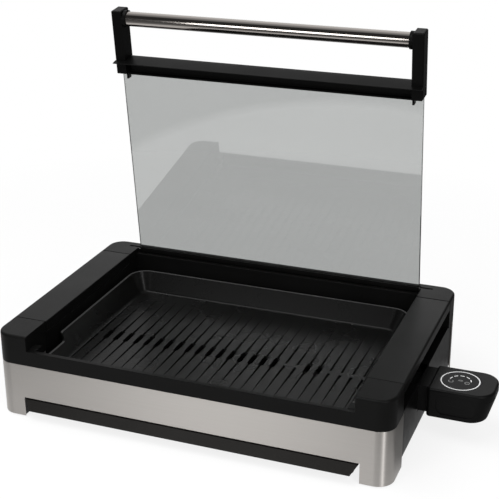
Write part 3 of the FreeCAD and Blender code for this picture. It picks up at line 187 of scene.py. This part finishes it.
class Nodes:
    """Adds nodes to a shader tree and joins them."""

    def __init__(self, tree):
        self.tree = tree

    def node(self, kind, **settings):
        node = self.tree.nodes.new(kind)
        for key, value in settings.items():
            setattr(node, key, value)
        return node

    def join(self, source, target):
        self.tree.links.new(source, target)

    def put(self, value, target):
        """Sets a socket to a number or a grey, or joins another socket to it."""
        if not isinstance(value, float):
            self.join(value, target)
        elif target.type == "RGBA":
            target.default_value = (value, value, value, 1)
        else:
            target.default_value = value

    def sum(self, operation, first, second, clamp=False):
        step = self.node("ShaderNodeMath", operation=operation, use_clamp=clamp)
        self.put(first, step.inputs[0])
        self.put(second, step.inputs[1])
        return step.outputs["Value"]

    def spread(self, value, span, result=(0.0, 1.0)):
        """A value that runs through one span, stretched over another."""
        step = self.node("ShaderNodeMapRange")
        for name, number in zip(("From Min", "From Max", "To Min", "To Max"), (*span, *result)):
            step.inputs[name].default_value = number
        self.join(value, step.inputs["Value"])
        return step.outputs["Result"]

    def axis(self, vector, name):
        axes = self.node("ShaderNodeSeparateXYZ")
        self.join(vector, axes.inputs["Vector"])
        return axes.outputs[name]

    def place(self, kind="Object"):
        return self.node("ShaderNodeTexCoord").outputs[kind]

    def graded(self, value, stops):
        """Colour that follows a value from 0 to 1 through these stops."""
        ramp = self.node("ShaderNodeValToRGB")
        points = ramp.color_ramp.elements
        while len(points) < len(stops):
            points.new(1.0)
        for point, (position, colour) in zip(points, stops):
            point.position = position
            point.color = (*colour, 1)
        self.join(value, ramp.inputs["Fac"])
        return ramp.outputs["Color"]

    def chosen(self, share, first, second, blend="MIX"):
        """The first colour where the share is 0, and the second, or the blend of both, where it is 1."""
        mix = self.node("ShaderNodeMixRGB", blend_type=blend)
        self.put(share, mix.inputs["Fac"])
        self.put(first, mix.inputs["Color1"])
        self.put(second, mix.inputs["Color2"])
        return mix.outputs["Color"]

    def rays(self, *kinds):
        """1 for the kinds of ray named, and 0 for the rest."""
        path = self.node("ShaderNodeLightPath")
        total = path.outputs[kinds[0]]
        for kind in kinds[1:]:
            total = self.sum("MAXIMUM", total, path.outputs[kind])
        return total


class Finish(Nodes):
    """A node material in the making: one Principled shader, and the patterns that feed it."""

    def __init__(self, name, **values):
        self.material = bpy.data.materials.new(name + "_finish")
        self.material.use_nodes = True
        super().__init__(self.material.node_tree)
        self.shader = self.tree.nodes["Principled BSDF"]
        for key, value in values.items():
            self.shader.inputs[key.replace("_", " ")].default_value = value

    def feed(self, source, name):
        self.join(source, self.shader.inputs[name])

    def noise(self, grain, detail):
        """Noise in the piece's own coordinates, with grains about this long, or along X, Y and Z."""
        lengths = grain if isinstance(grain, tuple) else (grain, grain, grain)
        sized = self.node("ShaderNodeMapping")
        sized.inputs["Scale"].default_value = [1 / length for length in lengths]
        noise = self.node("ShaderNodeTexNoise")
        noise.inputs["Scale"].default_value = 1.0
        noise.inputs["Detail"].default_value = detail
        self.join(self.place(), sized.inputs["Vector"])
        self.join(sized.outputs["Vector"], noise.inputs["Vector"])
        return noise.outputs["Fac"]

    def toned(self, pattern, colour, tones):
        return self.graded(pattern, [(at, scaled(colour, tone)) for at, tone in zip(NOISE_SPAN, tones)])

    def roughen(self, pattern, roughness, stray):
        down, up = stray
        self.feed(self.spread(pattern, NOISE_SPAN, (roughness - down, roughness + up)), "Roughness")

    def level_above(self, height):
        """1 on level faces above this height of the piece, and 0 elsewhere."""
        facing = self.node("ShaderNodeNewGeometry").outputs["True Normal"]
        high = self.sum("GREATER_THAN", self.axis(self.place(), "Z"), height)
        return self.sum("MULTIPLY", high, self.sum("GREATER_THAN", self.axis(facing, "Z"), LEVEL))

    def relief(self, pattern, depth, edge=0.0):
        """Bump of this depth, over edges that look rounded by this radius."""
        bump = self.node("ShaderNodeBump")
        bump.inputs["Distance"].default_value = depth
        self.join(pattern, bump.inputs["Height"])
        if edge:
            rounded = self.node("ShaderNodeBevel", samples=EDGE_SAMPLES)
            rounded.inputs["Radius"].default_value = edge
            self.join(rounded.outputs["Normal"], bump.inputs["Normal"])
        self.feed(bump.outputs["Normal"], "Normal")


def scaled(colour, factor):
    return tuple(channel * factor for channel in colour)


def grey(brightness):
    return (brightness, brightness, brightness)


# Finishes
def moulded(name, colour, roughness, grain, specular=PLASTIC_SPECULAR):
    """Moulded plastic: fine grain, and large faint clouds in its colour and gloss."""
    finish = Finish(name, Specular_IOR_Level=specular)
    clouds = finish.noise(MOULD_CLOUDS, detail=3.0)
    finish.feed(finish.toned(clouds, colour, MOULD_TONES), "Base Color")
    finish.roughen(clouds, roughness, MOULD_STRAY)
    finish.relief(finish.noise(grain, detail=2.0), grain / MOULD_DEPTH_SHARE, MOULD_EDGE)
    return finish.material


def brushed(name, colour, roughness):
    """Metal brushed along the lines' longest side, with faint clouds across it."""
    finish = Finish(name, Metallic=1.0, Anisotropic=BRUSH_ANISOTROPY, Anisotropic_Rotation=BRUSH_TURN)
    streaks = finish.noise(BRUSH_LINES, detail=4.0)
    finish.feed(finish.toned(streaks, colour, BRUSH_TONES), "Base Color")
    finish.roughen(finish.noise(BRUSH_CLOUDS, detail=2.0), roughness, BRUSH_STRAY)
    tangent = finish.node("ShaderNodeTangent", direction_type="RADIAL", axis="Z")
    finish.feed(tangent.outputs["Tangent"], "Tangent")
    finish.relief(streaks, BRUSH_DEPTH)
    return finish.material


def plain_metal(name, colour, roughness, grain=METAL_CLOUDS):
    """Rolled, plated or drawn metal: small clouds in its colour and gloss."""
    finish = Finish(name, Metallic=1.0)
    clouds = finish.noise(grain, detail=4.0)
    finish.feed(finish.toned(clouds, colour, METAL_TONES), "Base Color")
    finish.roughen(clouds, roughness, METAL_STRAY)
    finish.relief(finish.noise(grain / METAL_FINER, detail=2.0), METAL_DEPTH, METAL_EDGE)
    return finish.material


def coated(name, colour, roughness, specular, edge, rim_highlight_height=None):
    """Dark coating with a fine orange-peel skin, small pale specks and maybe a painted highlight: a pale grey
    on its level faces above a height, such as a rim.
    """
    finish = Finish(name, Specular_IOR_Level=specular)
    shade = finish.toned(finish.noise(COAT_SPECKS, detail=1.0), colour, COAT_TONES)
    # Painted highlight: level faces above the given height turn pale grey, as if the rim caught the light.
    if rim_highlight_height:
        shade = finish.chosen(finish.level_above(rim_highlight_height), shade, RIM_HIGHLIGHT_GREY)
    finish.feed(shade, "Base Color")
    finish.roughen(finish.noise(COAT_CLOUDS, detail=3.0), roughness, COAT_STRAY)
    finish.relief(finish.noise(COAT_SKIN, detail=2.0), COAT_DEPTH, edge)
    return finish.material


def glass(name, colour):
    """Tinted clear glass with faint wipe marks."""
    finish = Finish(name, Transmission_Weight=1.0, IOR=GLASS_IOR)
    wipes = finish.noise(GLASS_WIPES, detail=3.0)
    finish.feed(finish.toned(wipes, colour, GLASS_TONES), "Base Color")
    finish.roughen(wipes, 0.0, GLASS_STRAY)
    return finish.material


def polished(name, colour, roughness):
    """Drawn and polished metal, with the faintest haze."""
    finish = Finish(name, Metallic=1.0)
    haze = finish.noise(POLISH_HAZE, detail=2.0)
    finish.feed(finish.toned(haze, colour, POLISH_TONES), "Base Color")
    finish.roughen(haze, roughness, POLISH_STRAY)
    return finish.material


def glossy(name, colour, roughness, specular):
    """Smooth glossy paint or plastic, with the faintest haze."""
    finish = Finish(name, Specular_IOR_Level=specular)
    haze = finish.noise(GLOSS_HAZE, detail=3.0)
    finish.feed(finish.toned(haze, colour, GLOSS_TONES), "Base Color")
    finish.roughen(haze, roughness, GLOSS_STRAY)
    return finish.material


# Finish of each slot: kind, colour, roughness, then what else that kind takes
FINISHES = {
    "brushed_steel": (brushed, (0.44, 0.42, 0.40), 0.43),
    "side_paint": (glossy, grey(0.003), 0.30, 0.05),
    "rail_coating": (moulded, BLACK, 0.45, 0.0004),
    "frame_plastic": (moulded, BLACK, 0.40, 0.0006, 0.07),
    "bar_plastic": (moulded, BLACK, 0.38, 0.0004),
    "block_plastic": (moulded, (0.030, 0.030, 0.031), 0.60, 0.0008),
    "feet_rubber": (moulded, grey(0.022), 0.85, 0.0005),
    "screw_steel": (plain_metal, (0.50, 0.50, 0.51), 0.30),
    "sheet_steel": (plain_metal, (0.030, 0.029, 0.028), 0.55, 0.02),
    "runner_steel": (plain_metal, (0.46, 0.46, 0.47), 0.38, 0.012),
    "tray_enamel": (coated, (0.0085, 0.0078, 0.0070), 0.40, 0.10, TRAY_EDGE),
    "plate_coating": (coated, (0.0030, 0.0030, 0.0029), 0.28, 0.10, PLATE_EDGE, RIM_HIGHLIGHT_HEIGHT),
    "element_steel": (plain_metal, (0.17, 0.16, 0.15), 0.45),
    "clamp_aluminium": (plain_metal, (0.55, 0.55, 0.56), 0.45),
    "guard_steel": (plain_metal, grey(0.10), 0.45),
    "terminal_steel": (plain_metal, (0.60, 0.59, 0.56), 0.22),
    "lid_glass": (glass, (0.449, 0.460, 0.454)),
    "lid_plastic": (moulded, scaled(BLACK, LID_SHADE), 0.42, 0.0004, 0.055),
    "tube_steel": (polished, (0.36, 0.335, 0.315), 0.10),
    "pin_steel": (plain_metal, grey(0.55), 0.25),
    "controller_plastic": (moulded, grey(0.0036), 0.40, 0.0004),
    "connector_plastic": (moulded, (0.045, 0.043, 0.041), 0.60, 0.0006),
    "contact_brass": (plain_metal, (0.62, 0.46, 0.21), 0.25),
    "probe_steel": (plain_metal, (0.10, 0.097, 0.093), 0.45),
    "board_laminate": (moulded, (0.03, 0.14, 0.06), 0.45, 0.0008),
    "touch_gloss": (glossy, (0.003, 0.003, 0.0034), 0.06, 0.06),
    "ring_white": (glossy, grey(0.80), 0.30, 0.40),
    "sign_grey": (glossy, grey(0.16), 0.30, 0.40),
    "gland_plastic": (moulded, (0.020, 0.020, 0.021), 0.55, 0.0005),
}


def make_finishes():
    return {slot: kind(slot, *values) for slot, (kind, *values) in FINISHES.items()}


def dress_frame(finishes):
    for row in frame["record"]["subparts"]:
        piece = frame["nodes"][row["node"]]
        piece.material_slots[0].material = finishes[row["material_slot"]]
    frame["nodes"]["lid_glass"].visible_shadow = False


# Edges
def soften(piece, width):
    """Rounds the sharp edges of a piece, over its joined-up flat faces."""
    faces = piece.data.polygons
    faces.foreach_set("use_smooth", [True] * len(faces))
    weld = piece.modifiers.new("weld", "WELD")
    weld.merge_threshold = WELD_REACH
    flat = piece.modifiers.new("flat", "DECIMATE")
    flat.decimate_type = "DISSOLVE"
    flat.angle_limit = math.radians(FLAT_ANGLE)
    bevel = piece.modifiers.new("edges", "BEVEL")
    bevel.width = width
    bevel.segments = EDGE_SEGMENTS
    bevel.limit_method = "ANGLE"
    bevel.angle_limit = math.radians(EDGE_ANGLE)
    piece.modifiers.new("normals", "WEIGHTED_NORMAL")


# Pieces and marks on the touch panel
def add_object(name, data):
    thing = bpy.data.objects.new(name, data)
    bpy.context.scene.collection.objects.link(thing)
    return thing


def arc(middle, radius, width, first, last):
    """Corners of a flat arc, from one angle to the other."""
    steps = max(2, round(abs(last - first) / MARK_STEP))
    angles = [math.radians(first + (last - first) * step / steps) for step in range(steps + 1)]
    corners = []
    for edge, order in ((radius + width / 2, angles), (radius - width / 2, angles[::-1])):
        corners += [(middle[0] + edge * math.cos(turn), middle[1] + edge * math.sin(turn)) for turn in order]
    return corners


def bar(middle, length, width):
    """Corners of a flat bar along X."""
    x, y = middle
    return [(x - length / 2, y - width / 2), (x + length / 2, y - width / 2),
            (x + length / 2, y + width / 2), (x - length / 2, y + width / 2)]


def dash_outlines():
    half = DASH_SPAN / 2
    return [arc((0, 0), DASH_RADIUS, DASH_WIDTH, turn - half, turn + half) for turn in DASH_ANGLES]


def sign_outlines():
    """An open ring on the left, two short bars in the middle and a ring round a dot on the right."""
    x, y = MIDDLE_SIGN
    length = 2 * SIGN_RADIUS
    return [
        arc(LEFT_SIGN, SIGN_RADIUS, SIGN_WIDTH, *OPEN_RING),
        bar((x, y + SIGN_WIDTH), length, SIGN_WIDTH),
        bar((x, y - SIGN_WIDTH), length, SIGN_WIDTH),
        *[arc(RIGHT_SIGN, SIGN_RADIUS, SIGN_WIDTH, *half) for half in RING_HALVES],
        bar(RIGHT_SIGN, SIGN_WIDTH, SIGN_WIDTH),
    ]


def print_marks(name, outlines, finish):
    """Thin printed marks on top of the touch panel, which move with the controller."""
    low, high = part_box("touch_ring")
    middle = Vector(((low[0] + high[0]) / 2, (low[1] + high[1]) / 2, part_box("touch_panel")[1][2] + MARK_LIFT))
    layer = bmesh.new()
    for outline in outlines:
        face = layer.faces.new([layer.verts.new((middle.x + x, middle.y + y, middle.z)) for x, y in outline])
        raised = bmesh.ops.extrude_face_region(layer, geom=[face], use_keep_orig=True)
        top = [item for item in raised["geom"] if isinstance(item, bmesh.types.BMVert)]
        bmesh.ops.translate(layer, vec=(0, 0, MARK_HEIGHT), verts=top)
    bmesh.ops.recalc_face_normals(layer, faces=layer.faces)
    mesh = bpy.data.meshes.new(name)
    layer.to_mesh(mesh)
    layer.free()
    mesh.materials.append(finish)
    piece = add_object(name, mesh)
    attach(piece, "controller")


# Studio
def make_camera():
    azimuth = math.radians(CAMERA_AZIMUTH)
    elevation = math.radians(CAMERA_ELEVATION)
    roll = math.radians(CAMERA_ROLL)
    flat = math.cos(elevation)
    back = Vector((math.sin(azimuth) * flat, -math.cos(azimuth) * flat, math.sin(elevation)))
    level = Vector((math.cos(azimuth), math.sin(azimuth), 0))
    upright = back.cross(level)
    right = level * math.cos(roll) + upright * math.sin(roll)
    up = upright * math.cos(roll) - level * math.sin(roll)
    data = bpy.data.cameras.new("camera")
    data.lens = CAMERA_LENS
    data.shift_x = CAMERA_SHIFT_X
    data.shift_y = CAMERA_SHIFT_Y
    camera = add_object("camera", data)
    turn = Matrix((right, up, back)).transposed().to_4x4()
    camera.matrix_world = Matrix.Translation(CAMERA_TARGET + back * CAMERA_DISTANCE) @ turn
    bpy.context.scene.camera = camera


def keep_off(lamp, piece):
    """The lamp doesn't light this piece."""
    spared = bpy.data.collections.new(lamp.name + "_spares")
    spared.objects.link(piece)
    lamp.light_linking.receiver_collection = spared
    spared.collection_objects[0].light_linking.link_state = "EXCLUDE"


def make_lamps():
    for name, (place, aim, width, height, power) in LAMPS.items():
        data = bpy.data.lights.new(name, "AREA")
        data.shape = "RECTANGLE"
        data.size = width
        data.size_y = height
        data.energy = power
        lamp = add_object(name, data)
        lamp.location = place
        lamp.rotation_euler = (Vector(aim) - Vector(place)).to_track_quat("-Z", "Y").to_euler()
        if name in SPARED:
            keep_off(lamp, frame["nodes"][SPARED[name]])


def make_world():
    """White where the camera looks; reflections meet dark to the front and right, and white at the back."""
    world = bpy.data.worlds.new("studio")
    bpy.context.scene.world = world
    world.use_nodes = True
    world.cycles.sampling_method = "NONE"
    sky = Nodes(world.node_tree)
    direction = sky.place("Generated")
    toward_back = sky.spread(sky.axis(direction, "Y"), (-1.0, 1.0))
    reflected = sky.graded(toward_back, [(at, grey(level)) for at, level in REFLECTED])
    card = sky.graded(sky.axis(direction, "X"), [(at, grey(level)) for at, level in SHADED])
    shaded = sky.chosen(1.0, reflected, card, "MULTIPLY")
    unseen = sky.chosen(sky.rays("Is Glossy Ray"), FILL, shaded)
    seen = sky.chosen(sky.rays("Is Camera Ray", "Is Transmission Ray"), unseen, WHITE)
    sky.join(seen, sky.tree.nodes["Background"].inputs["Color"])


def floor_finish():
    """White floor that keeps part of the shadow near the object, and is plain white further out; to reflections
    it is painted dark beyond a disc and in a card-shaped patch to the right of the body.
    """
    finish = Finish("floor", Roughness=FLOOR_ROUGHNESS, Specular_IOR_Level=FLOOR_SPECULAR)
    finish.feed(finish.toned(finish.noise(FLOOR_GRAIN, detail=3.0), FLOOR_COLOUR, FLOOR_TONES), "Base Color")
    place = finish.place()
    distance = finish.node("ShaderNodeVectorMath", operation="DISTANCE")
    finish.join(place, distance.inputs[0])
    distance.inputs[1].default_value = DISC_MIDDLE
    reach = distance.outputs["Value"]
    fade = finish.spread(reach, (SHADOW_NEAR, SHADOW_FAR), (1 - FLOOR_SHADOW, 1.0))
    share = finish.sum("MULTIPLY", fade, finish.rays("Is Camera Ray", "Is Glossy Ray", "Is Transmission Ray"))
    # Painted reflection: only reflections see the floor dark beyond the disc and in a card-shaped patch, where
    # no card stands.
    outside = finish.spread(reach, (DISC_RADIUS - DISC_EDGE, DISC_RADIUS + DISC_EDGE))
    beside = finish.spread(finish.axis(place, "X"), PAINTED_CARD_SPAN_X)
    behind = finish.spread(finish.axis(place, "Y"), PAINTED_CARD_SPAN_Y)
    dark = finish.sum("MAXIMUM", outside, finish.sum("MULTIPLY", beside, behind))
    glossy_rays = finish.rays("Is Glossy Ray")
    mirrored = finish.sum("SUBTRACT", glossy_rays, finish.rays("Is Transmission Ray"), clamp=True)
    white = finish.node("ShaderNodeEmission")
    shade = finish.chosen(finish.sum("MULTIPLY", dark, mirrored), WHITE, REFLECTED_DARK_GREY)
    finish.join(shade, white.inputs["Color"])
    mix = finish.node("ShaderNodeMixShader")
    finish.join(share, mix.inputs["Fac"])
    finish.join(finish.shader.outputs["BSDF"], mix.inputs[1])
    finish.join(white.outputs["Emission"], mix.inputs[2])
    finish.join(mix.outputs["Shader"], finish.tree.nodes["Material Output"].inputs["Surface"])
    finish.material.cycles.emission_sampling = "NONE"
    return finish.material


def make_floor():
    mesh = bpy.data.meshes.new("floor")
    sheet = bmesh.new()
    bmesh.ops.create_grid(sheet, x_segments=2, y_segments=2, size=FLOOR_SIZE / 2)
    sheet.to_mesh(mesh)
    sheet.free()
    mesh.materials.append(floor_finish())
    add_object("floor", mesh)


def main():
    bpy.context.scene.view_settings.view_transform = "Standard"
    finishes = make_finishes()
    dress_frame(finishes)
    print_marks("touch_dashes", dash_outlines(), finishes["ring_white"])
    print_marks("touch_signs", sign_outlines(), finishes["sign_grey"])
    for node, width in SOFT_EDGES.items():
        soften(frame["nodes"][node], width)
    make_camera()
    make_lamps()
    make_world()
    make_floor()


main()
